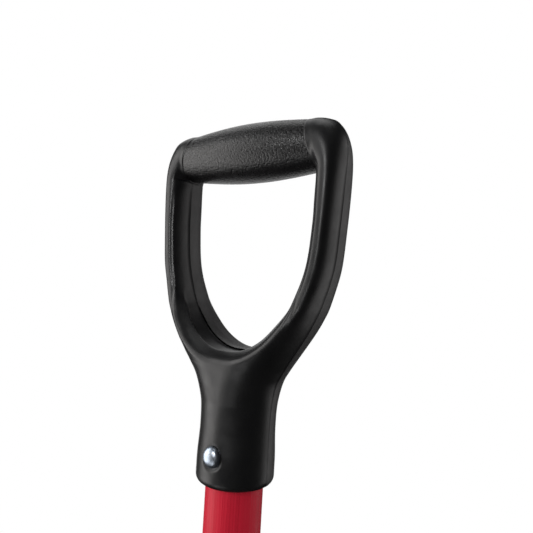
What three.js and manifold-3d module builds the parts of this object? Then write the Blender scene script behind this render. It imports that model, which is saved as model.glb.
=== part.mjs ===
// D-handled breaker bar: a black moulded D-grip riveted to a red fibreglass
// shaft, with a riveted chisel blade at the far end.
// Millimetres. +Z runs up the shaft, +X along the crossbar, and -Y is the
// front, the side that shows the rivets' domed heads. The origin is the
// underside of the crossbar at mid length, where the tool hangs on its hook.
// Inside the tool, heights are measured from the crossbar's axis.
import * as THREE from 'three';
import { ParametricGeometry } from 'three/addons/geometries/ParametricGeometry.js';
import { mergeVertices } from 'three/addons/utils/BufferGeometryUtils.js';
import Module from 'manifold-3d';

const wasm = await Module();
wasm.setup();

// Driving dimensions
const OVERALL_LENGTH = 1020;
const SHAFT_DIAMETER = 35;
const SHAFT_WALL = 4;
const TOP_PLUG_LENGTH = 66;
const BOTTOM_PLUG_LENGTH = 96;
const CLEARANCE = 0.3;

// Crossbar: a barrel sleeve, thickest at mid length, on a core tube
const BARREL_MID_RADIUS = 18.2;
const BARREL_END_RADIUS = 14.4;
const BARREL_HALF_LENGTH = 50;
const CORE_RADIUS = 9;
const CORE_WALL = 2;
const CORE_HALF_LENGTH = 58;
const BARREL_ROWS = 10;

// D-grip
const GRIP_TOP = 14.4;
const GRIP_HALF_WIDTH = 65.2;
const ARM_DEPTH = 30;
const ARM_SQUARENESS = 2.8;
const SOCKET_BORE_TOP = -138;
const SOCKET_RADIUS = 23.7;
const SOCKET_RIM_RADIUS = 20.6;
const SOCKET_BOTTOM = -199;
const GRIP_RIVET_HEIGHT = -181;

// Head: forged socket and neck, and the blade welded below it
const HEAD_SOCKET_LENGTH = 104;
const HEAD_SOCKET_RADIUS = 20.6;
const HEAD_LIP_RADIUS = 22;
const NECK_LENGTH = 62;
const BLADE_LENGTH = 105;
const BLADE_WIDTH = 100;
const BLADE_SHOULDER_WIDTH = 76;
const BLADE_THICKNESS = 6;
const BLADE_BEVEL_HEIGHT = 18;
const BLADE_EDGE_THICKNESS = 1;
const COLLAR_LENGTH = 16;
const COLLAR_RADIUS = 21;
const COLLAR_TAPER_LENGTH = 6;
const COLLAR_LIP = 1;
const HEAD_RIVET_DROPS = { upper: 28, lower: 72 };

// Rivets: domed head in front, burr and hammered head behind
const RIVET_SHANK_RADIUS = 3;
const RIVET_HEAD_RADIUS = 6.4;
const RIVET_DOME_HEIGHT = 3.4;
const RIVET_TAIL_RADIUS = 5;
const RIVET_TAIL_HEIGHT = 2.6;
const BURR_RADIUS = 7;
const BURR_THICKNESS = 1.2;
const SEAT_RADIUS = 7.5;
const SEAT_DEPTH = 1.4;

// Heights and radii that follow from the above
const SHAFT_RADIUS = SHAFT_DIAMETER / 2;
const SHAFT_BORE_RADIUS = SHAFT_RADIUS - SHAFT_WALL;
const EAR_FACE = BARREL_HALF_LENGTH + CLEARANCE;
const SOCKET_BORE_RADIUS = SHAFT_RADIUS + CLEARANCE;
const RIVET_HOLE_RADIUS = RIVET_SHANK_RADIUS + CLEARANCE;
const BLADE_TIP = BARREL_MID_RADIUS - OVERALL_LENGTH;
const BLADE_TOP = BLADE_TIP + BLADE_LENGTH;
const HEAD_BOTTOM = BLADE_TOP + CLEARANCE;
const HEAD_SOCKET_FLOOR = HEAD_BOTTOM + NECK_LENGTH;
const HEAD_SOCKET_TOP = HEAD_SOCKET_FLOOR + HEAD_SOCKET_LENGTH;
const SHAFT_TOP = SOCKET_BORE_TOP - CLEARANCE;
const SHAFT_BOTTOM = HEAD_SOCKET_FLOOR + CLEARANCE;
const PLUG_RADIUS = SHAFT_BORE_RADIUS - CLEARANCE;
const TOP_PLUG_BOTTOM = SHAFT_TOP - TOP_PLUG_LENGTH;
const BOTTOM_PLUG_TOP = SHAFT_BOTTOM + BOTTOM_PLUG_LENGTH;

// Facets
const ROUND_SEGMENTS = 32;
const SMALL_SEGMENTS = 16;
const LOFT_ROWS = 20;
const ARM_ROWS = 26;
const ARM_SEGMENTS = 20;
const CURVE_SEGMENTS = 3;
const WIDE = 400;

// Finishes
const BLACK_PLASTIC = { color: 0x1c1c1d, roughness: 0.42, metalness: 0 };
const GRAINED_PLASTIC = { color: 0x19191a, roughness: 0.6, metalness: 0 };
const RED_FIBREGLASS = { color: 0xb5182c, roughness: 0.3, metalness: 0 };
const ZINC_STEEL = { color: 0xaab4be, roughness: 0.3, metalness: 1 };
const FORGED_STEEL = { color: 0x2e2f31, roughness: 0.5, metalness: 0.8 };
const BLACK_RUBBER = { color: 0x161616, roughness: 0.8, metalness: 0 };
const PALE_FOAM = { color: 0xd8cfae, roughness: 0.9, metalness: 0 };
const GREY_NYLON = { color: 0x8a8a86, roughness: 0.6, metalness: 0 };

// A closed three.js geometry as a manifold solid, its shared corners merged
// and its collapsed triangles dropped.
function solid(geometry) {
  const bare = geometry.clone();
  bare.deleteAttribute('normal');
  bare.deleteAttribute('uv');
  const merged = mergeVertices(bare, 1e-4);
  const index = merged.index.array;
  const triVerts = [];
  for (let i = 0; i < index.length; i += 3) {
    const [a, b, c] = index.slice(i, i + 3);
    if (a !== b && b !== c && c !== a) triVerts.push(a, b, c);
  }
  return new wasm.Manifold(new wasm.Mesh({
    numProp: 3,
    vertProperties: new Float32Array(merged.attributes.position.array),
    triVerts: new Uint32Array(triVerts),
  }));
}

// A manifold solid back as a three.js geometry.
function geometryOf(body) {
  const mesh = body.getMesh();
  const geometry = new THREE.BufferGeometry();
  geometry.setAttribute('position', new THREE.BufferAttribute(mesh.vertProperties, 3));
  geometry.setIndex(new THREE.BufferAttribute(mesh.triVerts, 1));
  geometry.computeVertexNormals();
  return geometry;
}

// A solid turned about an axis from [radius, place along the axis] points,
// which start and end on the axis or close on themselves, then lifted.
function turned(axis, profile, segments = ROUND_SEGMENTS, lift = 0) {
  const points = profile.map(([radius, along]) => new THREE.Vector2(radius, along));
  const geometry = new THREE.LatheGeometry(points, segments);
  if (axis === 'x') geometry.rotateZ(-Math.PI / 2);
  if (axis === 'z') geometry.rotateX(Math.PI / 2);
  geometry.translate(0, 0, lift);
  return solid(geometry);
}

function rod(axis, radius, start, end, segments, lift) {
  return turned(axis, [[0, start], [radius, start], [radius, end], [0, end]], segments, lift);
}

function ring(axis, outer, inner, start, end, segments) {
  const profile = [[inner, start], [outer, start], [outer, end], [inner, end], [inner, start]];
  return turned(axis, profile, segments);
}

// A block between two corners.
function block(low, high) {
  const [sizeX, sizeY, sizeZ] = high.map((value, i) => value - low[i]);
  const geometry = new THREE.BoxGeometry(sizeX, sizeY, sizeZ);
  geometry.translate(low[0] + sizeX / 2, low[1] + sizeY / 2, low[2] + sizeZ / 2);
  return solid(geometry);
}

// An outline in the XZ plane given thickness equally to front and back.
function slab(shape, thickness) {
  const geometry = new THREE.ExtrudeGeometry(shape, {
    depth: thickness,
    bevelEnabled: false,
    curveSegments: CURVE_SEGMENTS,
  });
  geometry.translate(0, 0, -thickness / 2);
  geometry.rotateX(Math.PI / 2);
  return solid(geometry);
}

// Cosine and sine of a superellipse: power 2 is an ellipse, more is squarer.
function superellipse(angle, squareness) {
  const power = 2 / squareness;
  const bend = (value) => Math.sign(value) * Math.abs(value) ** power;
  return [bend(Math.cos(angle)), bend(Math.sin(angle))];
}

// A body skinned over level superellipse sections. Each station is
// [half width, half depth, height], listed upwards, and squareness gives the
// superellipse's power at a height.
function lofted(stations, squareness) {
  const path = new THREE.CatmullRomCurve3(stations.map((s) => new THREE.Vector3(...s)));
  const levels = path.getPoints(LOFT_ROWS);
  levels.unshift(new THREE.Vector3(0, 0, levels[0].z));
  levels.push(new THREE.Vector3(0, 0, levels.at(-1).z));
  const section = (u, v, target) => {
    const level = levels[Math.round(v * (levels.length - 1))];
    const [across, deep] = superellipse(2 * Math.PI * (u % 1), squareness(level.z));
    target.set(level.x * across, level.y * deep, level.z);
  };
  return solid(new ParametricGeometry(section, ROUND_SEGMENTS, levels.length - 1));
}

// Right-hand arm, as the two ends of each section: from the ear that takes
// the crossbar's end, round the corner and down into the throat.
const OUTER_SIDE = [
  [EAR_FACE, GRIP_TOP], [55.5, 13.4], [60.5, 9.2], [64, 2.5], [GRIP_HALF_WIDTH, -7], [64.2, -24],
  [62.9, -45], [60.4, -70], [54.4, -90], [45.5, -108], [35.3, -124], [28.5, -136],
];
const INNER_SIDE = [
  [EAR_FACE, -BARREL_END_RADIUS], [50.4, -16], [50.5, -18], [50.5, -20], [50.5, -23], [50.4, -30],
  [50.1, -47], [47.5, -70], [41.4, -90], [32.5, -105.5], [17.5, -118], [0, -121.8],
];

const toVectors = (outline) => outline.map(([x, z]) => new THREE.Vector2(x, z));

// One arm of the D; side is 1 for the right-hand arm and -1 for the left.
function arm(side) {
  const outer = new THREE.SplineCurve(toVectors(OUTER_SIDE));
  const inner = new THREE.SplineCurve(toVectors(INNER_SIDE));
  const lastRow = ARM_ROWS + 2;
  const section = (u, v, target) => {
    const row = Math.round(v * lastRow);
    const along = THREE.MathUtils.clamp((row - 1) / ARM_ROWS, 0, 1);
    const size = row === 0 || row === lastRow ? 0 : 1;
    const [across, deep] = superellipse(2 * Math.PI * (u % 1), ARM_SQUARENESS);
    const middle = outer.getPoint(along).lerp(inner.getPoint(along), 0.5 - size * across / 2);
    target.set(side * middle.x, -side * size * deep * ARM_DEPTH / 2, middle.y);
  };
  return solid(new ParametricGeometry(section, ARM_SEGMENTS, lastRow));
}

// The hand opening as a cutter, from below the ears down to the crotch.
function handCut() {
  const right = INNER_SIDE.slice(4);
  const left = right.map(([x, z]) => [-x, z]);
  const shape = new THREE.Shape();
  shape.moveTo(...left[0]);
  shape.splineThru(toVectors([...left.slice(1), ...right.toReversed().slice(1)]));
  return slab(shape, WIDE);
}

// Socket and throat, from the rounded bottom rim up into the arms.
function throat() {
  const stations = [
    [SOCKET_RIM_RADIUS, SOCKET_RIM_RADIUS, SOCKET_BOTTOM],
    [23.2, 23.2, -195.5],
    [SOCKET_RADIUS, SOCKET_RADIUS, -186],
    [23.5, 21.8, -168],
    [24.2, 21.2, -152],
    [26.4, 22.6, -140],
    [30.8, 23.6, -130],
    [35.3, 23.4, -124],
    [45.2, 20.2, -108],
    [51.4, 17, -96],
    [56, 14.6, -86],
  ];
  const squareness = (height) => 2 + 1.2 * THREE.MathUtils.smoothstep(height, -160, -120);
  return lofted(stations, squareness);
}

// Everything a rivet needs cut away from the parts it passes through: its
// hole, and a flat seat front and back where the wall is round.
function rivetCut(height, wallRadius) {
  const seat = wallRadius - SEAT_DEPTH;
  const reach = wallRadius + RIVET_TAIL_HEIGHT + RIVET_DOME_HEIGHT;
  return rod('y', RIVET_HOLE_RADIUS, -reach, reach, SMALL_SEGMENTS, height)
    .add(rod('y', SEAT_RADIUS, -reach, -seat, SMALL_SEGMENTS, height))
    .add(rod('y', SEAT_RADIUS, seat, reach, SMALL_SEGMENTS, height));
}

// Domed head in front, shank, and the hammered tail on the burr behind.
function rivet(wallRadius) {
  const seat = wallRadius - SEAT_DEPTH + CLEARANCE;
  const tailSeat = seat + BURR_THICKNESS + CLEARANCE;
  const dome = (radius, rise, base, side) => [0, 15, 30, 45, 60, 75].map((degrees) => {
    const angle = THREE.MathUtils.degToRad(degrees);
    return [radius * Math.cos(angle), base + side * rise * Math.sin(angle)];
  });
  const profile = [
    [0, -seat - RIVET_DOME_HEIGHT],
    ...dome(RIVET_HEAD_RADIUS, RIVET_DOME_HEIGHT, -seat, -1).toReversed(),
    [RIVET_SHANK_RADIUS, -seat],
    [RIVET_SHANK_RADIUS, tailSeat],
    ...dome(RIVET_TAIL_RADIUS, RIVET_TAIL_HEIGHT, tailSeat, 1),
    [0, tailSeat + RIVET_TAIL_HEIGHT],
  ];
  return turned('y', profile, SMALL_SEGMENTS);
}

function burr(wallRadius) {
  const start = wallRadius - SEAT_DEPTH + CLEARANCE;
  return ring('y', BURR_RADIUS, RIVET_HOLE_RADIUS, start, start + BURR_THICKNESS, SMALL_SEGMENTS);
}

function gripBody() {
  const coreLength = CORE_HALF_LENGTH + CLEARANCE;
  return arm(1)
    .add(arm(-1))
    .add(throat().subtract(handCut()))
    .subtract(rod('z', SOCKET_BORE_RADIUS, SOCKET_BOTTOM - 1, SOCKET_BORE_TOP))
    .subtract(rod('x', CORE_RADIUS + CLEARANCE, -coreLength, coreLength))
    .subtract(rivetCut(GRIP_RIVET_HEIGHT, SOCKET_RADIUS));
}

function crossbarSleeve() {
  const profile = [[CORE_RADIUS + CLEARANCE, -BARREL_HALF_LENGTH]];
  for (let row = 0; row <= BARREL_ROWS; row += 1) {
    const x = BARREL_HALF_LENGTH * (2 * row / BARREL_ROWS - 1);
    const swell = Math.cos(Math.PI / 2 * x / BARREL_HALF_LENGTH);
    profile.push([BARREL_END_RADIUS + (BARREL_MID_RADIUS - BARREL_END_RADIUS) * swell, x]);
  }
  profile.push([CORE_RADIUS + CLEARANCE, BARREL_HALF_LENGTH], profile[0]);
  return turned('x', profile);
}

// Forged socket that tapers into a flat neck as thick as the blade.
function headSocket() {
  const stations = [
    [BLADE_SHOULDER_WIDTH / 2, BLADE_THICKNESS / 2, HEAD_BOTTOM],
    [33, 5.5, HEAD_BOTTOM + 16],
    [25, 12, HEAD_BOTTOM + 36],
    [HEAD_SOCKET_RADIUS, 19.4, HEAD_SOCKET_FLOOR],
    [HEAD_SOCKET_RADIUS, HEAD_SOCKET_RADIUS, HEAD_SOCKET_FLOOR + 20],
    [HEAD_SOCKET_RADIUS, HEAD_SOCKET_RADIUS, HEAD_SOCKET_TOP - 12],
    [HEAD_LIP_RADIUS, HEAD_LIP_RADIUS, HEAD_SOCKET_TOP - 4],
    [HEAD_LIP_RADIUS, HEAD_LIP_RADIUS, HEAD_SOCKET_TOP],
  ];
  const squareness = (height) => {
    return 6 - 4 * THREE.MathUtils.smoothstep(height, HEAD_BOTTOM, HEAD_SOCKET_FLOOR);
  };
  return lofted(stations, squareness)
    .subtract(rod('z', SOCKET_BORE_RADIUS, HEAD_SOCKET_FLOOR, HEAD_SOCKET_TOP + 1))
    .subtract(headRivetCuts());
}

const headRivetHeights = Object.values(HEAD_RIVET_DROPS).map((drop) => HEAD_SOCKET_TOP - drop);

function headRivetCuts() {
  const [upper, lower] = headRivetHeights.map((height) => rivetCut(height, HEAD_SOCKET_RADIUS));
  return upper.add(lower);
}

// Flat plate that widens to the cutting edge, ground from behind.
function blade() {
  const outline = new THREE.Shape();
  outline.moveTo(-BLADE_WIDTH / 2, BLADE_TIP);
  outline.lineTo(BLADE_WIDTH / 2, BLADE_TIP);
  outline.lineTo(BLADE_WIDTH / 2, BLADE_TIP + BLADE_LENGTH / 2);
  outline.lineTo(BLADE_SHOULDER_WIDTH / 2, BLADE_TOP);
  outline.lineTo(-BLADE_SHOULDER_WIDTH / 2, BLADE_TOP);
  outline.lineTo(-BLADE_WIDTH / 2, BLADE_TIP + BLADE_LENGTH / 2);
  const ground = new THREE.Shape();
  ground.moveTo(BLADE_THICKNESS, BLADE_TIP - 1);
  ground.lineTo(BLADE_THICKNESS, BLADE_TIP + BLADE_BEVEL_HEIGHT);
  ground.lineTo(BLADE_THICKNESS / 2, BLADE_TIP + BLADE_BEVEL_HEIGHT);
  ground.lineTo(BLADE_EDGE_THICKNESS - BLADE_THICKNESS / 2, BLADE_TIP);
  ground.lineTo(BLADE_EDGE_THICKNESS - BLADE_THICKNESS / 2, BLADE_TIP - 1);
  const wedge = new THREE.ExtrudeGeometry(ground, { depth: WIDE, bevelEnabled: false });
  wedge.translate(0, 0, -WIDE / 2);
  wedge.rotateX(Math.PI / 2);
  wedge.rotateZ(Math.PI / 2);
  return slab(outline, BLADE_THICKNESS).subtract(solid(wedge));
}

function shaftTube() {
  return ring('z', SHAFT_RADIUS, SHAFT_BORE_RADIUS, SHAFT_BOTTOM, SHAFT_TOP)
    .subtract(rivetCut(GRIP_RIVET_HEIGHT, SOCKET_RADIUS))
    .subtract(headRivetCuts());
}

function shaftCollar() {
  const bottom = HEAD_SOCKET_TOP + CLEARANCE;
  const top = bottom + COLLAR_LENGTH;
  const inner = SOCKET_BORE_RADIUS;
  const profile = [
    [inner, bottom],
    [COLLAR_RADIUS, bottom],
    [COLLAR_RADIUS, top - COLLAR_TAPER_LENGTH],
    [inner + COLLAR_LIP, top],
    [inner, top],
    [inner, bottom],
  ];
  return turned('z', profile);
}

const tool = new THREE.Group();
tool.position.z = BARREL_MID_RADIUS;

function addPart(name, body, finish, height = 0) {
  const mesh = new THREE.Mesh(geometryOf(body), new THREE.MeshStandardMaterial(finish));
  mesh.name = name;
  mesh.position.z = height;
  tool.add(mesh);
}

const grip = gripBody();
const partingGap = CLEARANCE / 2;
const frontSpace = block([-WIDE, -WIDE, -WIDE], [WIDE, -partingGap, WIDE]);
const rearSpace = block([-WIDE, partingGap, -WIDE], [WIDE, WIDE, WIDE]);
addPart('grip_front_shell', grip.intersect(frontSpace), BLACK_PLASTIC);
addPart('grip_rear_shell', grip.intersect(rearSpace), BLACK_PLASTIC);
addPart('grip_crossbar_sleeve', crossbarSleeve(), GRAINED_PLASTIC);
addPart('grip_crossbar_core', ring('x', CORE_RADIUS, CORE_RADIUS - CORE_WALL, -CORE_HALF_LENGTH,
  CORE_HALF_LENGTH, SMALL_SEGMENTS), GREY_NYLON);
addPart('grip_rivet', rivet(SOCKET_RADIUS), ZINC_STEEL, GRIP_RIVET_HEIGHT);
addPart('grip_rivet_burr', burr(SOCKET_RADIUS), ZINC_STEEL, GRIP_RIVET_HEIGHT);

addPart('shaft_tube', shaftTube(), RED_FIBREGLASS);
addPart('shaft_top_plug', rod('z', PLUG_RADIUS, TOP_PLUG_BOTTOM, SHAFT_TOP)
  .subtract(rivetCut(GRIP_RIVET_HEIGHT, SOCKET_RADIUS)), GREY_NYLON);
addPart('shaft_foam_core', rod('z', PLUG_RADIUS, BOTTOM_PLUG_TOP + CLEARANCE,
  TOP_PLUG_BOTTOM - CLEARANCE), PALE_FOAM);
addPart('shaft_bottom_plug', rod('z', PLUG_RADIUS, SHAFT_BOTTOM, BOTTOM_PLUG_TOP)
  .subtract(headRivetCuts()), GREY_NYLON);
addPart('shaft_collar', shaftCollar(), BLACK_RUBBER);

addPart('head_socket', headSocket(), FORGED_STEEL);
addPart('blade', blade(), FORGED_STEEL);
Object.keys(HEAD_RIVET_DROPS).forEach((name, i) => {
  addPart(`head_rivet_${name}`, rivet(HEAD_SOCKET_RADIUS), ZINC_STEEL, headRivetHeights[i]);
  addPart(`head_rivet_${name}_burr`, burr(HEAD_SOCKET_RADIUS), ZINC_STEEL, headRivetHeights[i]);
});

export default tool;
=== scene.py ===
import math

import bmesh
import bpy
import numpy as np
from mathutils import Matrix, Vector


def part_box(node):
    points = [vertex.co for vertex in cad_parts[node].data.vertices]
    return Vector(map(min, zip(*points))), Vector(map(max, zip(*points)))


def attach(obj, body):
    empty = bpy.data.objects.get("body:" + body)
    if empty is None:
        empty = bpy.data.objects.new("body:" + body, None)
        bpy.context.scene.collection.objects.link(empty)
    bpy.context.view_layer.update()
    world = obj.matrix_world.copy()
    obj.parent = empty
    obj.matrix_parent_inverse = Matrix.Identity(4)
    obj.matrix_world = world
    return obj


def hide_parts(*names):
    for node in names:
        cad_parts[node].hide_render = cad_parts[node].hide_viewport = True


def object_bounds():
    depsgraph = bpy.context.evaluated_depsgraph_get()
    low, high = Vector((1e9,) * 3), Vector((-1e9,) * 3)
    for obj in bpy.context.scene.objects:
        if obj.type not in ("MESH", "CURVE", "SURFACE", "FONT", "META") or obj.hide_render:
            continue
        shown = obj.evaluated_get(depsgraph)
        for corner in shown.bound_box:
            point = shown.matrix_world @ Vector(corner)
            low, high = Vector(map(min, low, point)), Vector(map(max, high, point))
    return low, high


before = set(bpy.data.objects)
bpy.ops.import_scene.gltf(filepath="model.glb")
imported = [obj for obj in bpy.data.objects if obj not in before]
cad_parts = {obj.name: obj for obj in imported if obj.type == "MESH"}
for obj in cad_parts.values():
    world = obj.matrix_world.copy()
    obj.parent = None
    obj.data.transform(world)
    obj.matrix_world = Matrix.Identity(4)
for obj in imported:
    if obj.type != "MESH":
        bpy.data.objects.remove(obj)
cad_low, cad_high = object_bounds()

# ---------------------------------------------------------------------------
# View, light and floor.
# The tool hangs by its crossbar, so the view looks slightly up at the grip
# from its front right. A pale floor lies just below the blade's edge, and is
# kept out of the sheen on the tool's undersides.
# ---------------------------------------------------------------------------
MM = 0.001
sleeve_low, sleeve_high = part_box("grip_crossbar_sleeve")
BAR_HEIGHT = (sleeve_low.z + sleeve_high.z) / 2

VIEW_RIGHT = 0.1912
VIEW_FRONT = 0.2505
VIEW_DROP = 0.0809
VIEW_TURN = math.radians(35.18)
VIEW_RISE = math.radians(2.09)
VIEW_ROLL = math.radians(3.28)

camera = bpy.data.objects.new("camera", bpy.data.cameras.new("camera"))
camera.data.sensor_width = 36.0
camera.data.lens = 34.5
camera.data.clip_start = 0.01
camera.matrix_world = (
    Matrix.Translation((VIEW_RIGHT, -VIEW_FRONT, BAR_HEIGHT - VIEW_DROP))
    @ Matrix.Rotation(VIEW_TURN, 4, "Z")
    @ Matrix.Rotation(math.pi / 2 + VIEW_RISE, 4, "X")
    @ Matrix.Rotation(VIEW_ROLL, 4, "Z")
)
bpy.context.scene.collection.objects.link(camera)
bpy.context.scene.camera = camera


def soft_light(name, place, target, width, height, watts, colour=(1.0, 1.0, 1.0)):
    """A rectangular soft box at a place, turned to face its target."""
    data = bpy.data.lights.new(name, "AREA")
    data.shape = "RECTANGLE"
    data.size = width
    data.size_y = height
    data.energy = watts
    data.color = colour
    light = bpy.data.objects.new(name, data)
    away = Vector(place) - Vector(target)
    light.matrix_world = Matrix.Translation(place) @ away.to_track_quat("Z", "Y").to_matrix().to_4x4()
    bpy.context.scene.collection.objects.link(light)


bpy.context.scene.view_settings.view_transform = "Standard"

grip_middle = (0.0, 0.0, BAR_HEIGHT - 0.1)
soft_light("key_left", (-1.0, -0.7, -0.12), grip_middle, 0.85, 1.7, 13.5, (1.0, 0.98, 0.965))
soft_light("strip_front", (0.05, -1.15, 0.33), grip_middle, 0.1, 0.5, 5.5)
soft_light("window", (-0.72, -0.55, 0.72), grip_middle, 0.3, 0.3, 1.1)
soft_light("wall_left", (-0.8, 1.0, -0.05), grip_middle, 1.1, 1.7, 6.0)
soft_light("wall_right", (0.8, 1.05, -0.05), grip_middle, 0.9, 1.7, 4.8, (1.0, 0.98, 0.975))
soft_light("top", (-0.65, 0.4, 0.85), grip_middle, 0.7, 0.6, 1.6)
soft_light("overhead", (0.0, 0.3, 2.4), (0.0, 0.0, -1.0), 1.6, 1.6, 14.0)
soft_light("low_fill", (-0.3, -1.1, -1.2), (0.0, 0.0, -0.85), 0.6, 0.5, 2.0)

world = bpy.data.worlds.new("studio")
bpy.context.scene.world = world
world.use_nodes = True
air = world.node_tree
air.nodes.clear()
seen_white = air.nodes.new("ShaderNodeBackground")
seen_white.inputs["Color"].default_value = (1.0, 1.0, 1.0, 1.0)
seen_white.inputs["Strength"].default_value = 1.0
soft_room = air.nodes.new("ShaderNodeBackground")
soft_room.inputs["Color"].default_value = (1.0, 1.0, 1.0, 1.0)
soft_room.inputs["Strength"].default_value = 0.42
dark_room = air.nodes.new("ShaderNodeBackground")
dark_room.inputs["Color"].default_value = (1.0, 1.0, 1.0, 1.0)
dark_room.inputs["Strength"].default_value = 0.015
rays = air.nodes.new("ShaderNodeLightPath")
shiny = air.nodes.new("ShaderNodeMixShader")
pick = air.nodes.new("ShaderNodeMixShader")
sky = air.nodes.new("ShaderNodeOutputWorld")
air.links.new(rays.outputs["Is Diffuse Ray"], shiny.inputs["Fac"])
air.links.new(dark_room.outputs["Background"], shiny.inputs[1])
air.links.new(soft_room.outputs["Background"], shiny.inputs[2])
air.links.new(rays.outputs["Is Camera Ray"], pick.inputs["Fac"])
air.links.new(shiny.outputs["Shader"], pick.inputs[1])
air.links.new(seen_white.outputs["Background"], pick.inputs[2])
air.links.new(pick.outputs["Shader"], sky.inputs["Surface"])
world.cycles.sampling_method = "NONE"


def mesh_object(name, vertices, faces):
    """A smooth-shaded mesh object at the origin, linked into the scene."""
    data = bpy.data.meshes.new(name)
    data.from_pydata(vertices, [], faces)
    piece = bpy.data.objects.new(name, data)
    bpy.context.scene.collection.objects.link(piece)
    return piece


FLOOR_RADIUS = 1.05
FLOOR_DROP = 0.012
FLOOR_SIDES = 96
floor_height = cad_low.z - FLOOR_DROP
floor_turn = np.linspace(0, 2 * np.pi, FLOOR_SIDES, endpoint=False)
floor_rim = np.stack([np.cos(floor_turn), np.sin(floor_turn)], -1) * FLOOR_RADIUS
floor = mesh_object(
    "floor",
    [(x, y, floor_height) for x, y in floor_rim],
    [tuple(range(FLOOR_SIDES))],
)
floor.visible_glossy = False


def material(name):
    """A material with a Principled shader: returns it, its node tree and the shader."""
    made = bpy.data.materials.new(name)
    made.use_nodes = True
    tree = made.node_tree
    return made, tree, tree.nodes["Principled BSDF"]


pale_paint, _, pale_shader = material("pale_floor")
pale_shader.inputs["Base Color"].default_value = (0.9, 0.89, 0.87, 1.0)
pale_shader.inputs["Roughness"].default_value = 0.7
floor.data.materials.append(pale_paint)

# ---------------------------------------------------------------------------
# D-grip shells.
# Two black polypropylene mouldings meet at a parting line that runs round the
# grip. The front one is satin with a shallow flute inside its rim, and the
# rear one has the matt, finely grained face of the mould's other half. The
# rear one's lighter grey base colour is painted light from the wall behind.
# ---------------------------------------------------------------------------
# Ends of each section of the right-hand half, from the crossbar's boot, down
# the arm and round the crotch, in millimetres across and up from the bar.
HAND_SIDE = [
    (49.2, -15.0), (49.9, -15.6), (50.2, -17), (50.3, -18.6), (50.4, -20.6), (50.5, -23), (50.5, -26.5),
    (50.4, -34), (50.1, -47), (47.5, -70), (41.4, -90), (37.2, -98.5), (32.5, -105.5), (27, -111.5),
    (21.6, -115.8), (16, -118.9), (10.5, -120.8), (5.6, -121.6), (3.4, -121.75), (1.6, -121.8),
]
OUTER_SIDE = [
    (41.5, 15.9), (48, 15.4), (53, 14.4), (57.8, 12.2), (61.6, 7.6), (64.2, 1), (65.1, -7),
    (64.2, -24), (62.8, -45), (60.4, -70), (54.4, -90), (49.9, -100), (45.5, -108), (40.4, -116),
    (35.2, -124), (29.9, -132.5), (26.3, -140), (24.2, -152), (23.5, -168), (23.7, -184),
]
SOCKET_RADIUS = 23.7
SOCKET_BOTTOM = -199.2
CROTCH = -121.8
BOTTOM_STEPS = 4
PER_SPAN = 8
FINE_SPAN = 48
ACROSS = 104
# Depth of each half from the parting line, against height.
DEPTH_HEIGHTS = [-200, -186, -180, -168, -152, -140, -130, -124, -116, -108, -100, -92, -80, -60, -20, 5, 17]
FRONT_DEPTHS = [
    23.7, 23.7, 23.3, 21.9, 21.4, 23.2, 24.6, 24.7, 23.6, 21.4, 18.8, 16.9, 15.4, 14.9, 15, 15.2, 15.7,
]
REAR_DEPTHS = [
    23.7, 23.7, 23.3, 21.9, 21.1, 22, 22.5, 22, 20.8, 19.2, 17.5, 16.4, 15.4, 14.9, 15, 15.2, 15.7,
]
SHAFT_HOLE = 17.8
SHAFT_HOLE_TOP = -138.0
EAR_FACE = 50.3
BARREL_MID = 18.2
BARREL_END = 14.4
BARREL_HALF_LENGTH = 50.0
PARTING_GAP = 0.06
FLASH_OUT = 0.22
FLASH_DEPTH = 0.2
FLASH_FOOT = 0.5
# The throat's section from the hand opening inwards: share of full depth against distance, the lip's crest
# being at 1. In front it has a floor, a step and a rolled lip; behind it is nearly square.
FRONT_LIP = [
    (0, 0), (0.04, 0.18), (0.09, 0.4), (0.14, 0.56), (0.18, 0.62), (0.22, 0.655), (0.35, 0.75), (0.55, 0.87),
    (0.75, 0.955), (0.9, 0.988), (1.0, 0.999), (1.15, 1.0), (1.6, 0.988), (2.4, 0.985), (3.4, 0.995), (5, 1),
    (8, 1), (14, 1), (30, 1),
]
REAR_LIP = [
    (0, 0), (0.05, 0.3), (0.1, 0.52), (0.16, 0.68), (0.25, 0.79), (0.4, 0.88), (0.6, 0.95), (0.8, 0.985),
    (1, 1), (1.3, 1), (2, 1), (4, 1), (9, 1), (30, 1),
]
RIVET_HEIGHT = -181.2
RIVET_DISH_RADIUS = 8.0
RIVET_DISH_FLOOR = 22.3


def smooth_curve(points, per_span):
    """A Catmull-Rom curve: each span is a cubic whose slope at a point is half the step between the points
    on either side of it."""
    p = np.array(points, float)
    p = np.vstack([2 * p[0] - p[1], p, 2 * p[-1] - p[-2]])
    t = np.linspace(0, 1, per_span, endpoint=False)[:, None]
    a, b, c, d = (p[i:len(p) - 3 + i, None, :] for i in range(4))
    square = 2 * a - 5 * b + 4 * c - d
    cube = 3 * b - a - 3 * c + d
    spans = 0.5 * (2 * b + (c - a) * t + square * t**2 + cube * t**3)
    return np.vstack([spans.reshape(-1, p.shape[1]), p[-2]])


def ease(value, start, end):
    """0 before start and 1 after end, with a level slope at both: 3t^2 - 2t^3."""
    t = np.clip((value - start) / (end - start), 0, 1)
    return t * t * (3 - 2 * t)


def distance_to(curve, x, z):
    """Shortest distance from each point of a grid to a polyline: row by row, the least over all segments of
    the distance to the nearest point of the segment."""
    start, step = curve[:-1], np.diff(curve, axis=0)
    length = (step**2).sum(1) + 1e-12
    nearest = np.empty(x.shape)
    for row in range(len(x)):
        dx = x[row, :, None] - start[:, 0]
        dz = z[row, :, None] - start[:, 1]
        along = np.clip((dx * step[:, 0] + dz * step[:, 1]) / length, 0, 1)
        nearest[row] = np.hypot(dx - along * step[:, 0], dz - along * step[:, 1]).min(1)
    return nearest


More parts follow.
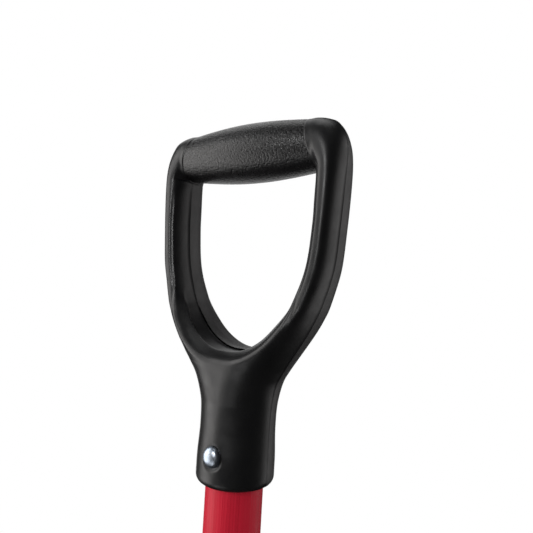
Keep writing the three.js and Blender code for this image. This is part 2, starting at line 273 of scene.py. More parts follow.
def barrel_radius(x):
    """Crossbar radius: its end radius plus a cosine swell that is full at mid length."""
    return BARREL_END + (BARREL_MID - BARREL_END) * np.cos(np.pi / 2 * np.clip(x / BARREL_HALF_LENGTH, -1, 1))


def grip_outline(per_span):
    """The two edges of the right half as curves with as many points each; the outer one goes on round the
    socket's foot."""
    hand = smooth_curve(HAND_SIDE, per_span)
    outer = smooth_curve(OUTER_SIDE, per_span)
    foot = np.array([(SOCKET_RADIUS, SOCKET_BOTTOM), (0, SOCKET_BOTTOM)])
    down = np.linspace(outer[-1], foot[0], per_span + 1)[1:]
    under = np.linspace(foot[0], foot[1], BOTTOM_STEPS * per_span + 1)[1:]
    meet = np.linspace(hand[-1], (0, CROTCH), len(down) + len(under) + 1)[1:]
    return np.vstack([hand, meet]), np.vstack([outer, down, under]), len(hand) + len(down)


def section_rise(far, power):
    """Height of a rounded section, 0 at its edge and 1 at its crown: (1 - far^n)^(1/n), where far is 1 at the
    edge."""
    return (1 - np.clip(far, 0, 1) ** power) ** (1 / power)


def ear_edge(x, z, height):
    """The ear's edge over the barrel: a quarter-round lip rising from the barrel's own circle,
    y = (r^2 - z^2)^(1/2), that gives way to the section's height a few millimetres on."""
    inwards = (np.abs(x) - 49.2) * 0.970 + (z + 15.0) * 0.242
    barrel = np.sqrt(np.clip(barrel_radius(np.abs(x)) ** 2 - z**2, 0, None))
    lip = barrel + 0.55 * np.sqrt(1 - (1 - np.clip(inwards / 1.3, 0, 1)) ** 2)
    share = (1 - ease(inwards, 0.4, 5)) * ease(z, -15.4, -13.4)
    return height + share * (lip - height)


def grip_surface(depths, flute, lip, step, proud):
    """Height of one grip half over its front view. Sections rise from the hand side and from the outer side
    by superellipses. In the arms these meet at mid width; lower down they part, the outer one becoming the
    round socket and the inner one a rolled lip with a crest. A flute runs inside the lip. Above the share of
    depth where step begins, the lip stands proud of the opening's floor by an amount that fades out towards
    its crest."""
    hand, outer, side_count = grip_outline(PER_SPAN)
    even = np.linspace(0, 1, ACROSS)
    spread = 0.75 * (1 - np.cos(np.pi * even)) / 2 + 0.25 * even
    x = hand[:, 0, None] * (1 - spread) + outer[:, 0, None] * spread
    z = hand[:, 1, None] * (1 - spread) + outer[:, 1, None] * spread
    fine_hand, fine_outer, fine_count = grip_outline(FINE_SPAN)
    from_hand = distance_to(fine_hand, x, z)
    from_side = distance_to(fine_outer[:fine_count], x, z)
    from_hand[:, 0] = 0
    from_side[:side_count, -1] = 0
    half_width = (from_hand + from_side) / 2
    low = ease(-z, 92, 140)
    at_crotch = ease(-z, 66, 114)
    crest = 1.9 + 3.9 * ease(-z, 78, 116)
    lip_width = half_width * (1 - low) + 8.0 * low
    side_width = half_width * (1 - low) + SOCKET_RADIUS * low
    arm_power = 2.7 - 0.7 * ease(-z, 110, 160) - 0.7 * ease(z, -30, 5)
    arm_rise = section_rise(1 - from_hand / lip_width, arm_power)
    lip_shape = smooth_curve(lip, 12)
    lip_rise = np.interp(from_hand / crest, lip_shape[:, 0], lip_shape[:, 1])
    hand_rise = arm_rise * (1 - at_crotch) + lip_rise * at_crotch
    side_rise = section_rise(1 - from_side / side_width, arm_power)
    height = np.interp(z, DEPTH_HEIGHTS, depths) * hand_rise * side_rise
    on_arm = ease(-z, 16, 34) * (1 - ease(-z, 74, 116))
    flute_line = 3.4 + 5.4 * ease(-z, 78, 118)
    height = height - flute * np.exp(-(((from_hand - flute_line) / 0.9) ** 2)) * on_arm
    height = height + 0.5 * flute * np.exp(-(((from_hand - crest) / 1.0) ** 2)) * on_arm
    height = ear_edge(x, z, height)
    away = np.hypot(x, z - RIVET_HEIGHT)
    dish = 1 - ease(away, RIVET_DISH_RADIUS - 1.4, RIVET_DISH_RADIUS)
    height = height + dish * (np.minimum(height, RIVET_DISH_FLOOR) - height)
    inwards = (outer - hand) / np.linalg.norm(outer - hand, axis=1)[:, None]
    fade = np.clip(1 - (from_hand / crest - 0.18) / 0.82, 0, 1)
    reach = proud * ease(lip_rise, *step) * fade * ease(-z, 86, 108)
    x = x - reach * inwards[:, :1]
    z = z - reach * inwards[:, 1:]
    mirrored = [np.vstack([part[:-1], part[::-1] * sign]) for part, sign in ((x, -1), (z, 1), (height, 1))]
    inwards = np.vstack([inwards[:-1], inwards[::-1] * (-1, 1)])
    return *mirrored, inwards


def grip_shell(name, side, flash, **section):
    """One moulded half: its outer face over the front view, and behind it the parting face, hollowed where
    the shaft and the crossbar lie. Both edges end in a thin ridge of flash. side is -1 for the front half and
    1 for the rear."""
    x, z, height, inwards = grip_surface(**section)
    out = flash * inwards
    hand_x = x[:, :1] - out[:, :1]
    hand_z = z[:, :1] - out[:, 1:]
    side_x = x[:, -1:] + out[:, :1]
    side_z = z[:, -1:] + out[:, 1:]
    x = np.hstack([hand_x, hand_x, x, side_x, side_x])
    z = np.hstack([hand_z, hand_z, z, side_z, side_z])
    height = np.maximum(height, FLASH_FOOT)
    ridge = np.full((len(x), 1), FLASH_DEPTH)
    height = np.hstack([ridge * 0, ridge, height, ridge, ridge * 0])
    foot = np.clip((SOCKET_BOTTOM + 4.2 - z) / 4.2, 0, 1)
    tuck = 1 - 0.13 * (1 - np.sqrt(1 - foot**2))
    x = x * tuck
    bar_hole = np.where(np.abs(x) < EAR_FACE, (barrel_radius(x) + 0.05) ** 2 - z**2, 0)
    shaft_hole = np.where(z < SHAFT_HOLE_TOP, SHAFT_HOLE**2 - x**2, 0)
    hollow = np.sqrt(np.clip(np.maximum(bar_hole, shaft_hole), 0, None))
    face = np.maximum(height * tuck, PARTING_GAP)
    back = np.minimum(np.maximum(hollow, PARTING_GAP), face)
    rows, columns = x.shape
    grid = np.arange(rows * columns).reshape(rows, columns)
    front = np.stack([x, side * face, z + BAR_HEIGHT / MM], -1).reshape(-1, 3)
    rear = np.stack([x, side * back, z + BAR_HEIGHT / MM], -1).reshape(-1, 3)
    quads = np.stack([grid[:-1, :-1], grid[1:, :-1], grid[1:, 1:], grid[:-1, 1:]], -1).reshape(-1, 4)
    edge = np.concatenate([grid[:-1, 0], grid[-1, :-1], grid[:0:-1, -1], grid[0, :0:-1]])
    after = np.roll(edge, -1)
    count = rows * columns
    rim = np.stack([edge, edge + count, after + count, after], -1)
    faces = np.vstack([quads, quads[:, ::-1] + count, rim])
    piece = mesh_object(name, (np.vstack([front, rear]) * MM).tolist(), faces.tolist())
    close_up(piece, sharp=65)
    return piece


def close_up(piece, sharp=50, weld=1e-6):
    """Welds coinciding points, drops collapsed faces, turns every face outwards and shades the piece smooth
    except across edges that turn by more than sharp degrees."""
    shape = bmesh.new()
    shape.from_mesh(piece.data)
    bmesh.ops.remove_doubles(shape, verts=shape.verts, dist=weld)
    bmesh.ops.dissolve_degenerate(shape, edges=shape.edges, dist=weld)
    bmesh.ops.recalc_face_normals(shape, faces=shape.faces)
    shape.to_mesh(piece.data)
    shape.free()
    piece.data.shade_smooth()
    piece.data.set_sharp_from_angle(angle=math.radians(sharp))


def noise(tree, scale, detail=4.0, roughness=0.55, stretch=(1.0, 1.0, 1.0)):
    """A noise over the piece's own coordinates, scale in repeats per metre, stretched along any axis."""
    place = tree.nodes.new("ShaderNodeTexCoord")
    shape = tree.nodes.new("ShaderNodeMapping")
    shape.inputs["Scale"].default_value = stretch
    made = tree.nodes.new("ShaderNodeTexNoise")
    made.inputs["Scale"].default_value = scale
    made.inputs["Detail"].default_value = detail
    made.inputs["Roughness"].default_value = roughness
    tree.links.new(place.outputs["Object"], shape.inputs["Vector"])
    tree.links.new(shape.outputs["Vector"], made.inputs["Vector"])
    return made.outputs["Fac"]


def between(tree, source, low, high, low_in=0.3, high_in=0.7):
    """Maps a pattern from its own range to low..high."""
    spread = tree.nodes.new("ShaderNodeMapRange")
    spread.inputs["From Min"].default_value = low_in
    spread.inputs["From Max"].default_value = high_in
    spread.inputs["To Min"].default_value = low
    spread.inputs["To Max"].default_value = high
    tree.links.new(source, spread.inputs["Value"])
    return spread.outputs["Result"]


def tint(tree, source, dark, light):
    """Colours a 0..1 pattern from dark to light."""
    mix = tree.nodes.new("ShaderNodeMix")
    mix.data_type = "RGBA"
    mix.inputs["A"].default_value = (*dark, 1.0)
    mix.inputs["B"].default_value = (*light, 1.0)
    tree.links.new(source, mix.inputs["Factor"])
    return mix.outputs["Result"]


def bump(tree, source, distance, strength=1.0, under=None):
    """A bump of a pattern, distance in metres from its low to its high, over another bump if there is one."""
    made = tree.nodes.new("ShaderNodeBump")
    made.inputs["Strength"].default_value = strength
    made.inputs["Distance"].default_value = distance
    tree.links.new(source, made.inputs["Height"])
    if under is not None:
        tree.links.new(under, made.inputs["Normal"])
    return made.outputs["Normal"]


def moulded_black(name, shine, grain, base):
    """Black polypropylene: a faint cloudiness in colour and shine from handling, and the fine grain of the
    mould."""
    made, tree, shader = material(name)
    cloud = between(tree, noise(tree, 38.0), 0.0, 1.0)
    tree.links.new(tint(tree, cloud, base, tuple(1.35 * c for c in base)), shader.inputs["Base Color"])
    smear = noise(tree, 120.0, 6.0, 0.65)
    tree.links.new(between(tree, smear, shine - 0.05, shine + 0.07), shader.inputs["Roughness"])
    soft = bump(tree, noise(tree, 90.0, 2.0), 0.00006)
    fine = bump(tree, noise(tree, 2600.0, 2.0), grain, under=soft)
    tree.links.new(fine, shader.inputs["Normal"])
    return made


front_shell = grip_shell(
    "grip_front_moulding", -1, FLASH_OUT,
    depths=FRONT_DEPTHS, flute=0.35, lip=FRONT_LIP, step=(0.52, 0.70), proud=3.2,
)
satin = moulded_black("satin_polypropylene", 0.38, 0.000004, (0.0042, 0.0042, 0.0046))
front_shell.data.materials.append(satin)
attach(front_shell, "root")
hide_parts("grip_front_shell")

rear_shell = grip_shell(
    "grip_rear_moulding", 1, 0.0,
    depths=REAR_DEPTHS, flute=0.0, lip=REAR_LIP, step=(0.4, 0.8), proud=2.3,
)
# The same black polypropylene as the front half: its lighter base colour is painted light from the wall
# behind, and only its roughness and grain are the real matt face.
matt_painted_lit = moulded_black("matt_polypropylene_painted_light", 0.48, 0.00002, (0.024, 0.023, 0.0235))
rear_shell.data.materials.append(matt_painted_lit)
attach(rear_shell, "root")
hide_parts("grip_rear_shell")

# ---------------------------------------------------------------------------
# Crossbar: grained sleeve on its core tube.
# A barrel moulded with a leather-like grain for grip is slipped over a nylon
# tube, whose ends are caught in the two ears of the D.
# ---------------------------------------------------------------------------
GRAIN_SIZE = 1.15
GRAIN_HEIGHT = 0.18
SLEEVE_ALONG = 320
SLEEVE_ROUND = 304
SLEEVE_BORE = 9.3


def cells(x, y, wide, high, seed):
    """Distance in cells from each point to the nearest seed point, one seed being jittered in each cell of a
    grid that closes on itself across high cells."""
    rng = np.random.default_rng(seed)
    jitter = rng.random((wide, high, 2)) * 0.8 + 0.1
    column, row = np.floor(x).astype(int), np.floor(y).astype(int)
    nearest = np.full(x.shape, 9.0)
    for across in (-1, 0, 1):
        for up in (-1, 0, 1):
            i = np.clip(column + across, 0, wide - 1)
            j = (row + up) % high
            gap = np.hypot(column + across + jitter[i, j, 0] - x, row + up + jitter[i, j, 1] - y)
            nearest = np.minimum(nearest, gap)
    return nearest


def turned(axis, radius, along, count):
    """Loops of count points about an axis: row i is a circle of radius[i] at along[i], in millimetres."""
    turn = np.linspace(0, 2 * np.pi, count, endpoint=False)[None, :]
    radius, along, turn = np.broadcast_arrays(radius, along, turn)
    across, up = radius * np.cos(turn), radius * np.sin(turn)
    order = {"x": (along, across, up), "y": (up, along, across), "z": (across, up, along)}
    return np.stack(order[axis], -1)


def ring_piece(name, rings, joined):
    """A surface through loops of points given from the bar's axis: each row of the array is one loop; joined
    makes the last row meet the first, and otherwise both end loops are single points."""
    rows, columns = rings.shape[:2]
    grid = np.arange(rows * columns).reshape(rows, columns)
    if joined:
        grid = np.vstack([grid, grid[:1]])
    grid = np.hstack([grid, grid[:, :1]])
    faces = np.stack([grid[:-1, :-1], grid[1:, :-1], grid[1:, 1:], grid[:-1, 1:]], -1).reshape(-1, 4)
    points = (rings.reshape(-1, 3) + (0, 0, BAR_HEIGHT / MM)) * MM
    piece = mesh_object(name, points.tolist(), faces.tolist())
    close_up(piece)
    return piece


def crossbar_sleeve():
    """The barrel as a grid of length by turn; each grain is a low dome over a jittered cell."""
    along = np.linspace(-BARREL_HALF_LENGTH, BARREL_HALF_LENGTH, SLEEVE_ALONG)[:, None]
    turn = np.linspace(0, 1, SLEEVE_ROUND, endpoint=False)[None, :]
    wide = int(104 / GRAIN_SIZE)
    high = int(2 * np.pi * 16.5 / GRAIN_SIZE)
    column = (along + 52) / GRAIN_SIZE + 0 * turn
    row = turn * high + 0 * along
    pebble = 1 - np.clip(cells(column, row, wide, high, 5), 0, 0.75) ** 2 / 0.56
    outside = turned("x", barrel_radius(along) + GRAIN_HEIGHT * (pebble - 0.75), along, SLEEVE_ROUND)
    bore = turned("x", SLEEVE_BORE, along[[-1, 0]], SLEEVE_ROUND)
    return ring_piece("crossbar_grained_sleeve", np.concatenate([outside, bore]), joined=True)


def bump_cells(tree, scale, distance, under=None):
    """A bump of rounded cells, scale in cells per metre: the height falls off towards each cell's border."""
    place = tree.nodes.new("ShaderNodeTexCoord")
    made = tree.nodes.new("ShaderNodeTexVoronoi")
    made.inputs["Scale"].default_value = scale
    tree.links.new(place.outputs["Object"], made.inputs["Vector"])
    dome = between(tree, made.outputs["Distance"], 1.0, 0.0, 0.0, 0.8)
    return bump(tree, dome, distance, under=under)


sleeve = crossbar_sleeve()
leather, tree, shader = material("grained_polypropylene")
cloud = between(tree, noise(tree, 60.0), 0.0, 1.0)
shade = tint(tree, cloud, (0.0022, 0.0021, 0.0024), (0.0042, 0.0040, 0.0044))
tree.links.new(shade, shader.inputs["Base Color"])
tree.links.new(between(tree, noise(tree, 900.0), 0.24, 0.4), shader.inputs["Roughness"])
tree.links.new(bump_cells(tree, 1500.0, 0.00008), shader.inputs["Normal"])
sleeve.data.materials.append(leather)
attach(sleeve, "root")
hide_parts("grip_crossbar_sleeve")


def finished(node, made):
    """Gives a carried-over CAD node its material."""
    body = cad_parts[node]
    body.data.materials.clear()
    body.data.materials.append(made)


def moulded_nylon(name, light):
    """Unpainted nylon: faint flow marks in colour, an even satin and a fine moulded skin."""
    made, tree, shader = material(name)
    flow = between(tree, noise(tree, 45.0, 5.0, 0.6, (1.0, 1.0, 0.25)), 0.0, 1.0)
    tree.links.new(tint(tree, flow, tuple(0.86 * c for c in light), light), shader.inputs["Base Color"])
    tree.links.new(between(tree, noise(tree, 300.0), 0.42, 0.58), shader.inputs["Roughness"])
    tree.links.new(bump(tree, noise(tree, 1200.0, 3.0), 0.00003), shader.inputs["Normal"])
    return made


finished("grip_crossbar_core", moulded_nylon("core_nylon", (0.34, 0.34, 0.33)))

# ---------------------------------------------------------------------------
# Rivets and their burrs.
# Bright zinc-plated steel: one pins the grip and two pin the head to the
# shaft. Each has a pressed dome in front and is hammered over a washer-like
# burr behind.
# ---------------------------------------------------------------------------
RIVET_ROUND = 72
SHANK_RADIUS = 3.0
HEAD_RADIUS = 6.1
HEAD_RISE = 3.4
TAIL_RADIUS = 4.9
TAIL_RISE = 2.6
BURR_RADIUS = 7.0
BURR_THICKNESS = 1.2
SEAT_GAP = 0.3


def dome(radius, rise, power, steps):
    """Profile of a domed head from its rim to its crown: (r / radius)^n + (h / rise)^n = 1."""
    angle = np.linspace(0, np.pi / 2, steps)
    return radius * np.cos(angle) ** (2 / power), rise * np.sin(angle) ** (2 / power)


def rivet_piece(name, node):
    """The rivet turned about its own axis: crown, dome, rolled rim, shank and hammered tail, whose radius
    wanders by a sum of two sines of the turn."""
    low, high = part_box(node)
    height = (low.z + high.z) / 2 / MM - BAR_HEIGHT / MM
    seat = -low.y / MM - HEAD_RISE
    tail_seat = high.y / MM - TAIL_RISE
    head_r, head_h = dome(HEAD_RADIUS, HEAD_RISE, 2.25, 22)
    tail_r, tail_h = dome(TAIL_RADIUS, TAIL_RISE, 2.6, 16)
    radius = np.concatenate([head_r[::-1], [HEAD_RADIUS - 0.25, SHANK_RADIUS, SHANK_RADIUS], tail_r])
    under_head = [-seat + 0.12, -seat + 0.12, tail_seat]
    along = np.concatenate([-seat - head_h[::-1], under_head, tail_seat + tail_h])
    turn = np.linspace(0, 2 * np.pi, RIVET_ROUND, endpoint=False)[None, :]
    wander = 1 + 0.035 * np.sin(3 * turn + 1) + 0.02 * np.sin(7 * turn)
    hammered = np.where(along[:, None] > tail_seat - 0.01, wander, 1)
    rings = turned("y", radius[:, None] * hammered, along[:, None], RIVET_ROUND) + (0, 0, height)
    return ring_piece(name, rings, joined=False)


def burr_piece(name, node):
    """The burr as a turned ring whose edges are rounded by quarter circles."""
    low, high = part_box(node)
    height = (low.z + high.z) / 2 / MM - BAR_HEIGHT / MM
    start = low.y / MM
    angle = np.linspace(0, np.pi / 2, 7)
    inner, edge = SHANK_RADIUS + SEAT_GAP, 0.35
    sine, cosine = edge * np.sin(angle), edge * np.cos(angle)
    outer, end = BURR_RADIUS - edge, start + BURR_THICKNESS - edge
    radius = np.concatenate([outer + sine, outer + cosine, inner + edge - sine, inner + edge - cosine])
    along = np.concatenate([start + edge - cosine, end + sine, end + cosine, start + edge - sine])
    rings = turned("y", radius[:, None], along[:, None], RIVET_ROUND) + (0, 0, height)
    return ring_piece(name, rings, joined=True)


zinc, tree, shader = material("bright_zinc")
bloom = between(tree, noise(tree, 260.0, 4.0), 0.0, 1.0)
tree.links.new(tint(tree, bloom, (0.36, 0.43, 0.52), (0.55, 0.60, 0.67)), shader.inputs["Base Color"])
rub = noise(tree, 700.0, 5.0, 0.6, (1.0, 1.0, 0.2))
tree.links.new(between(tree, rub, 0.28, 0.42), shader.inputs["Roughness"])
dents = bump(tree, noise(tree, 420.0, 2.0), 0.00004)
tree.links.new(bump(tree, rub, 0.00002, under=dents), shader.inputs["Normal"])
shader.inputs["Metallic"].default_value = 1.0

for node in ("grip_rivet", "head_rivet_upper", "head_rivet_lower"):
    pin = rivet_piece(f"{node}_domed", node)
    pin.data.materials.append(zinc)
    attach(pin, "root")
    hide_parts(node)
    washer = burr_piece(f"{node}_burr_ring", f"{node}_burr")
    washer.data.materials.append(zinc)
    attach(washer, "root")
    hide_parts(f"{node}_burr")

# ---------------------------------------------------------------------------
# Shaft, its plugs and its foam.
# A tube of glass fibre drawn lengthwise through red resin and left glossy,
# so the fibres show as faint streaks. Nylon plugs stiffen it where it is
# riveted, and rigid foam fills the length between them.
# ---------------------------------------------------------------------------
SHAFT_ROUND = 360
SHAFT_RADIUS = 17.5
SHAFT_BORE = 13.5
STREAK_HEIGHT = 0.035


def shaft_tube():
    """The tube as straight lengthwise lines: the radius at each turn is a sum of cosines of random number and
    phase, which leaves shallow flutes the length of the shaft. Both ends have a small chamfer."""
    low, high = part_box("shaft_tube")
    bottom = low.z / MM - BAR_HEIGHT / MM
    top = high.z / MM - BAR_HEIGHT / MM
    turn = np.linspace(0, 2 * np.pi, SHAFT_ROUND, endpoint=False)[None, :]
    rng = np.random.default_rng(11)
    waves = rng.integers(9, 120, 40)
    phases = rng.random(40) * 2 * np.pi
    streaks = sum(np.cos(n * turn + phase) / np.sqrt(40) for n, phase in zip(waves, phases))
    middle = np.linspace(bottom + 20, top - 20, 40)
    levels = np.concatenate([[bottom, bottom + 0.5], middle, [top - 0.5, top]])
    shrink = np.concatenate([[0.5], np.zeros(42), [0.5]])[:, None]
    outside = turned("z", SHAFT_RADIUS - shrink + STREAK_HEIGHT * (streaks - 1), levels[:, None], SHAFT_ROUND)
    inside = turned("z", SHAFT_BORE, np.array([top, bottom])[:, None], SHAFT_ROUND)
    return ring_piece("shaft_red_tube", np.concatenate([outside, inside]), joined=True)


shaft = shaft_tube()
red_resin, tree, shader = material("red_fibreglass")
streak = between(tree, noise(tree, 900.0, 5.0, 0.6, (1.0, 1.0, 0.006)), 0.0, 1.0)
tree.links.new(tint(tree, streak, (0.40, 0.0030, 0.017), (0.48, 0.006, 0.025)), shader.inputs["Base Color"])
tree.links.new(between(tree, noise(tree, 60.0, 4.0), 0.40, 0.52), shader.inputs["Roughness"])
tree.links.new(bump(tree, streak, 0.00003), shader.inputs["Normal"])
shader.inputs["Specular IOR Level"].default_value = 0.2
shaft.data.materials.append(red_resin)
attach(shaft, "root")
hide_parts("shaft_tube")

plug_nylon = moulded_nylon("plug_nylon", (0.50, 0.50, 0.48))
finished("shaft_top_plug", plug_nylon)
finished("shaft_bottom_plug", plug_nylon)

foam, tree, shader = material("rigid_foam")
pores = between(tree, noise(tree, 1400.0, 3.0), 0.0, 1.0)
tree.links.new(tint(tree, pores, (0.55, 0.49, 0.32), (0.76, 0.70, 0.52)), shader.inputs["Base Color"])
tree.links.new(between(tree, noise(tree, 200.0), 0.8, 0.95), shader.inputs["Roughness"])
tree.links.new(bump_cells(tree, 1800.0, 0.0003), shader.inputs["Normal"])
finished("shaft_foam_core", foam)

# ---------------------------------------------------------------------------
# Shaft collar.
# A black rubber sleeve that closes the joint above the steel socket. It is
# ribbed, tapers to a thin lip round the shaft and is held by its own stretch.
# ---------------------------------------------------------------------------
COLLAR_RADIUS = 21.0
COLLAR_BORE = 17.8
COLLAR_LIP = 18.8
COLLAR_TAPER = 6.0
COLLAR_EDGE = 0.6
RIB_HEIGHT = 0.35
RIB_PITCH = 2.4
COLLAR_ROUND = 160

low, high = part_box("shaft_collar")
collar_low = low.z / MM - BAR_HEIGHT / MM
collar_high = high.z / MM - BAR_HEIGHT / MM
level = np.linspace(collar_low, collar_high, 90)
taper = ease(level, collar_high - COLLAR_TAPER, collar_high)
ribs = RIB_HEIGHT * (0.5 + 0.5 * np.cos(2 * np.pi * (level - collar_low) / RIB_PITCH)) ** 2 * (1 - taper)
edge = COLLAR_EDGE * (1 - np.sqrt(1 - np.clip(1 - (level - collar_low) / COLLAR_EDGE, 0, 1) ** 2))
between_ribs = COLLAR_RADIUS - RIB_HEIGHT
skin = between_ribs + ribs - taper * (between_ribs - COLLAR_LIP) - edge
outside = turned("z", skin[:, None], level[:, None], COLLAR_ROUND)
inside = turned("z", COLLAR_BORE, np.array([collar_high, collar_low])[:, None], COLLAR_ROUND)
collar = ring_piece("shaft_ribbed_collar", np.concatenate([outside, inside]), joined=True)
rubber, tree, shader = material("black_rubber")
dust = between(tree, noise(tree, 90.0, 5.0), 0.0, 1.0)
tree.links.new(tint(tree, dust, (0.010, 0.010, 0.010), (0.026, 0.025, 0.024)), shader.inputs["Base Color"])
tree.links.new(between(tree, noise(tree, 500.0), 0.6, 0.82), shader.inputs["Roughness"])
tree.links.new(bump(tree, noise(tree, 1600.0, 3.0), 0.00006), shader.inputs["Normal"])
collar.data.materials.append(rubber)
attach(collar, "root")
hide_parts("shaft_collar")

# ---------------------------------------------------------------------------
# Head socket and neck.
# Forged steel with a black finish: a round socket with a rolled lip that
# flattens into a neck as thick as the blade. A low flash line runs down both
# sides, and the rivet seats are spot-faced.
# ---------------------------------------------------------------------------
# Half width, half depth and height above the neck's end, in millimetres.
NECK_STATIONS = [
    (38, 3, 0), (33, 5.5, 16), (25, 12, 36), (20.6, 19.4, 62), (20.6, 20.6, 82), (20.6, 20.6, 118),
    (20.6, 20.6, 152), (21.9, 21.9, 161), (22, 22, 166),
]
NECK_FLOOR = 62
SOCKET_BORE = 17.8
SOCKET_DEPTH = 104
SEAT_RADIUS = 7.6
SEAT_FLOOR = 19.3
LIP_ROUND = 1.0
HEAD_ROUND = 192

socket_low, socket_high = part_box("head_socket")
neck_end = socket_low.z / MM - BAR_HEIGHT / MM
socket_top = socket_high.z / MM - BAR_HEIGHT / MM
stations = smooth_curve(NECK_STATIONS, 24)
width, depth, rise = stations[:, :1], stations[:, 1:2], stations[:, 2:]
squareness = 6 - 4 * ease(rise, 0, NECK_FLOOR)
turn = np.linspace(0, 2 * np.pi, HEAD_ROUND, endpoint=False)[None, :]
across = np.sign(np.cos(turn)) * np.abs(np.cos(turn)) ** (2 / squareness)
deep = np.sign(np.sin(turn)) * np.abs(np.sin(turn)) ** (2 / squareness)
lip = 1 - (1 - np.sqrt(1 - np.clip(1 - (rise[-1] - rise) / LIP_ROUND, 0, 1) ** 2)) * LIP_ROUND / 22
flash = 0.35 * np.exp(-((np.sin(turn) / 0.06) ** 2)) * (1 - ease(rise, 120, 145)) * ease(rise, 2, 10)
x = (width * lip + flash) * across
y = depth * lip * deep
z = neck_end + rise + 0 * turn
for node in ("head_rivet_upper", "head_rivet_lower"):
    low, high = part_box(node)
    away = np.hypot(x, z - ((low.z + high.z) / 2 - BAR_HEIGHT) / MM)
    seat = 1 - ease(away, SEAT_RADIUS - 1.0, SEAT_RADIUS)
    y = y + seat * (np.sign(y) * np.minimum(np.abs(y), SEAT_FLOOR) - y)
outside = np.stack([x, y, z], -1)
start = turned("z", 0.0, np.array([[neck_end]]), HEAD_ROUND)
bore_radius = np.array([SOCKET_BORE, SOCKET_BORE, 0])[:, None]
bore_height = np.array([socket_top, socket_top - SOCKET_DEPTH, socket_top - SOCKET_DEPTH])[:, None]
inside = turned("z", bore_radius, bore_height, HEAD_ROUND)
head = ring_piece("head_forged_socket", np.concatenate([start, outside, inside]), joined=False)


def forged_black(name, bare=None):
    """Black-finished steel: the hammer's soft unevenness, a scaly skin, and patches rubbed a little shinier.
    bare, if given, builds a 0..1 pattern of where the finish is ground away to bright steel."""
    made, tree, shader = material(name)
    scale_skin = between(tree, noise(tree, 70.0, 6.0, 0.62), 0.0, 1.0)
    dark = tint(tree, scale_skin, (0.018, 0.018, 0.019), (0.046, 0.045, 0.045))
    rough = between(tree, noise(tree, 160.0, 5.0), 0.36, 0.56)
    uneven = bump(tree, noise(tree, 55.0, 3.0), 0.0005)
    skin = bump(tree, noise(tree, 900.0, 4.0), 0.00005, under=uneven)
    shader.inputs["Metallic"].default_value = 0.55
    tree.links.new(skin, shader.inputs["Normal"])
    if bare is None:
        tree.links.new(dark, shader.inputs["Base Color"])
        tree.links.new(rough, shader.inputs["Roughness"])
        return made
    where = bare(tree)
    grinding = between(tree, noise(tree, 900.0, 3.0, 0.5, (1.0, 1.0, 0.05)), 0.0, 1.0)
    steel = tint(tree, grinding, (0.50, 0.50, 0.51), (0.74, 0.74, 0.75))
    mix = tree.nodes.new("ShaderNodeMix")
    mix.data_type = "RGBA"
    tree.links.new(where, mix.inputs["Factor"])
    tree.links.new(dark, mix.inputs["A"])
    tree.links.new(steel, mix.inputs["B"])
    tree.links.new(mix.outputs["Result"], shader.inputs["Base Color"])
    tree.links.new(between(tree, where, 0.48, 0.34, 0.0, 1.0), shader.inputs["Roughness"])
    return made


head.data.materials.append(forged_black("forged_black"))
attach(head, "root")
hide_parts("head_socket")

# ---------------------------------------------------------------------------
# Blade.
# A flat plate of the same steel, welded edge to edge below the neck, widening
# to its cutting edge. It is ground from behind, and the ground face and the
# rubbed edge are bare and bright.
# ---------------------------------------------------------------------------
# Half width against height above the cutting edge, in millimetres.
BLADE_OUTLINE = [
    (49.2, 0), (49.7, 0.4), (50, 1.2), (50, 3), (50, 8), (50, 18), (50, 30), (50, 49), (49.5, 55), (45, 77),
    (38.6, 102), (38, 105),
]
BLADE_HALF = 3.0
EDGE_THICKNESS = 1.0
BEVEL_HEIGHT = 18.0
BLADE_LENGTH = 105
BLADE_HOLLOW = 0.25
SIDE_ROUNDING = 0.8
BLADE_ACROSS = 121

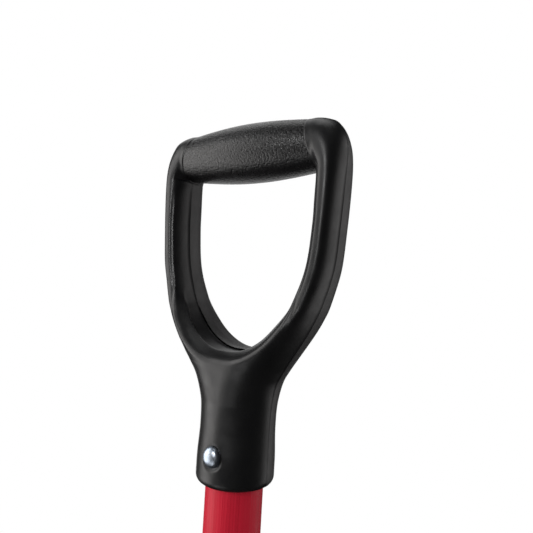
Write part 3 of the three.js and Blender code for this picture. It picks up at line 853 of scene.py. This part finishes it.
blade_low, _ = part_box("blade")
edge_height = blade_low.z / MM - BAR_HEIGHT / MM
outline = smooth_curve(BLADE_OUTLINE, 14)
half = outline[:, :1]
rise = outline[:, 1:]
across = np.sin(np.linspace(-np.pi / 2, np.pi / 2, BLADE_ACROSS))[None, :]
margin = half * (1 - np.abs(across))
rounding = np.sqrt(1 - np.clip(1 - margin / SIDE_ROUNDING, 0, 1) ** 2)
hollow = BLADE_HOLLOW * np.sin(np.pi * np.clip(rise / BLADE_LENGTH, 0, 1)) * (1 - across**2)
bevel_slope = (2 * BLADE_HALF - EDGE_THICKNESS) / BEVEL_HEIGHT
thick_back = np.minimum(BLADE_HALF, EDGE_THICKNESS - BLADE_HALF + bevel_slope * rise)
middle = (thick_back - BLADE_HALF) / 2
front_y = middle + (-BLADE_HALF + hollow - middle) * (0.25 + 0.75 * rounding)
back_y = middle + (thick_back - middle) * (0.25 + 0.75 * rounding)
x = half * across
z = edge_height + rise + 0 * across
loops = np.concatenate([np.stack([x, front_y, z], -1), np.stack([x, back_y, z], -1)[:, ::-1]], axis=1)
centre_low = np.broadcast_to(loops[0].mean(0), (1, *loops.shape[1:]))
centre_high = np.broadcast_to(loops[-1].mean(0), (1, *loops.shape[1:]))
blade = ring_piece("blade_plate", np.concatenate([centre_low, loops, centre_high]), joined=False)


def ground_away(tree):
    """Where the steel is bare: all over the ground bevel behind, and on the lowest millimetres in front,
    with a ragged border where use has rubbed the finish off."""
    place = tree.nodes.new("ShaderNodeTexCoord")
    parts = tree.nodes.new("ShaderNodeSeparateXYZ")
    tree.links.new(place.outputs["Object"], parts.inputs["Vector"])
    tip = blade_low.z
    front = between(tree, parts.outputs["Z"], 1.0, 0.0, tip + 0.003, tip + 0.007)
    bevel = between(tree, parts.outputs["Z"], 1.0, 0.0, tip + 0.0172, tip + 0.0182)
    behind = between(tree, parts.outputs["Y"], 0.0, 1.0, -0.0022, -0.0016)
    rear = tree.nodes.new("ShaderNodeMath")
    rear.operation = "MULTIPLY"
    tree.links.new(bevel, rear.inputs[0])
    tree.links.new(behind, rear.inputs[1])
    most = tree.nodes.new("ShaderNodeMath")
    most.operation = "MAXIMUM"
    tree.links.new(front, most.inputs[0])
    tree.links.new(rear.outputs["Value"], most.inputs[1])
    ragged = tree.nodes.new("ShaderNodeMath")
    ragged.operation = "MULTIPLY_ADD"
    tree.links.new(noise(tree, 320.0, 5.0), ragged.inputs[0])
    ragged.inputs[1].default_value = 0.7
    tree.links.new(most.outputs["Value"], ragged.inputs[2])
    return between(tree, ragged.outputs["Value"], 0.0, 1.0, 0.7, 0.95)


blade.data.materials.append(forged_black("forged_black_ground", ground_away))
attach(blade, "root")
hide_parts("blade")
